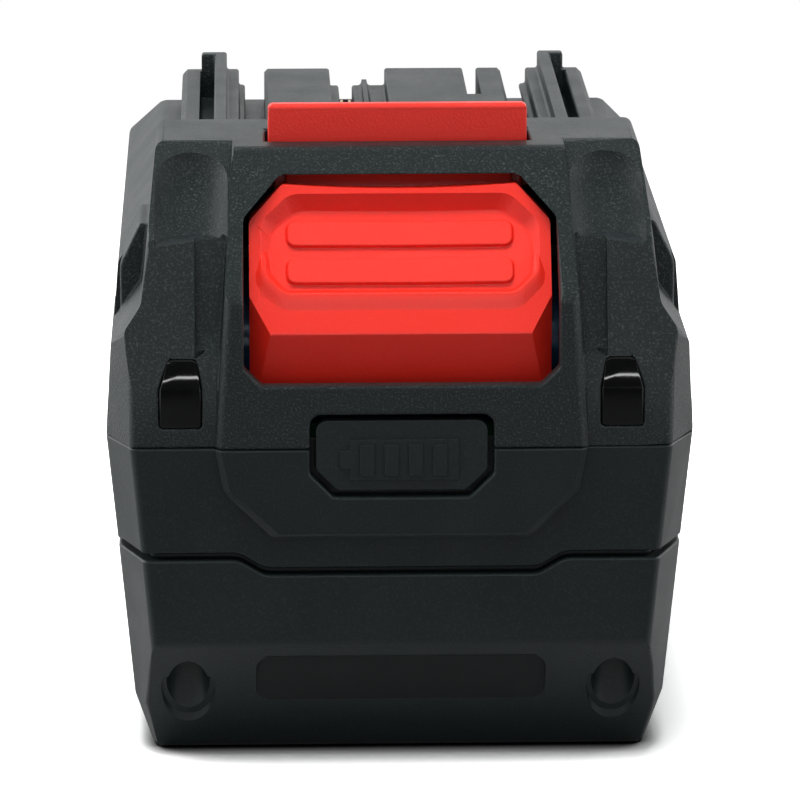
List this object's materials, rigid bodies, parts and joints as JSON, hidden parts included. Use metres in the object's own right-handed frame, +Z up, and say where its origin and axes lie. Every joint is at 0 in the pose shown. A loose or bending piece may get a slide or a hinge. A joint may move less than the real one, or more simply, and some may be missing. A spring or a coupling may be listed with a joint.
{
  "type": "power tool battery pack",
  "caption": "Slide-on rechargeable battery pack with a sprung release latch, catch bar, guide rails, contact block and a push-button charge gauge.",
  "frame": {"origin": "middle of the base, on the floor", "axes": "+Z up, +Y from the release button to the rear of the pack, +X to the right seen from the button"},
  "size_m": [0.08, 0.12, 0.0888],
  "materials": {
    "case_plastic": "fine moulded grain",
    "latch_plastic": "fine moulded grain",
    "insert_plastic": "gloss",
    "steel": "zinc plated",
    "board_laminate": "solder resist",
    "lamp_plastic": "clear moulded",
    "component_plastic": "moulded",
    "component_ceramic": "fired ceramic",
    "shunt_alloy": "bare alloy",
    "bead_resin": "dipped resin",
    "holder_plastic": "moulded",
    "sheet_paper": "pressed paper",
    "foam": "closed cell",
    "nickel": "rolled",
    "contact_alloy": "stamped and plated",
    "cell_wrap": "shrink sleeve"
  },
  "bodies": {
    "pack": {"bottom_tray": "case_plastic", "middle_case": "case_plastic", "top_cover": "case_plastic", "latch_spring_left": "steel", "latch_spring_right": "steel", "gauge_board": "board_laminate", "gauge_lamps": "lamp_plastic", "gauge_switch": "component_plastic", "corner_insert_left": "insert_plastic", "corner_insert_right": "insert_plastic", "cell_holder_left": "holder_plastic", "cell_holder_right": "holder_plastic", "insulation_left": "sheet_paper", "insulation_right": "sheet_paper", "foam_pads": "foam", "protection_board": "board_laminate", "power_transistors": "component_plastic", "controller_chip": "component_plastic", "current_shunt": "shunt_alloy", "board_capacitors": "component_ceramic", "thermistor": "bead_resin", "case_screws": "steel", "board_screws": "steel", "bus_strip_left_front": "nickel", "bus_strip_left_middle": "nickel", "bus_strip_left_rear": "nickel", "bus_strip_right_front": "nickel", "bus_strip_right_middle": "nickel", "bus_strip_right_rear": "nickel", "contact_positive": "contact_alloy", "contact_negative": "contact_alloy", "contact_signal": "contact_alloy", "contact_thermistor": "contact_alloy", "cell_1_1": "cell_wrap", "cell_1_2": "cell_wrap", "cell_1_3": "cell_wrap", "cell_1_4": "cell_wrap", "cell_1_5": "cell_wrap", "cell_2_1": "cell_wrap", "cell_2_2": "cell_wrap", "cell_2_3": "cell_wrap", "cell_2_4": "cell_wrap", "cell_2_5": "cell_wrap", "cell_3_1": "cell_wrap", "cell_3_2": "cell_wrap", "cell_3_3": "cell_wrap", "cell_3_4": "cell_wrap", "cell_3_5": "cell_wrap"},
    "latch": {"release_latch": "latch_plastic"},
    "gauge": {"gauge_button": "case_plastic", "switch_plunger": "component_plastic"}
  },
  "joints": [
    {"name": "latch_slide", "type": "slide", "parent": "pack", "child": "latch", "axis": [0, 0, -1], "range_m": [0, 0.0048], "stiffness_N_per_m": 600, "springref_m": -0.004, "deforming": ["latch_spring_left", "latch_spring_right"]},
    {"name": "gauge_press", "type": "slide", "parent": "pack", "child": "gauge", "axis": [0, 1, 0], "range_m": [0, 0.0005], "stiffness_N_per_m": 1500, "springref_m": -0.0002}
  ]
}
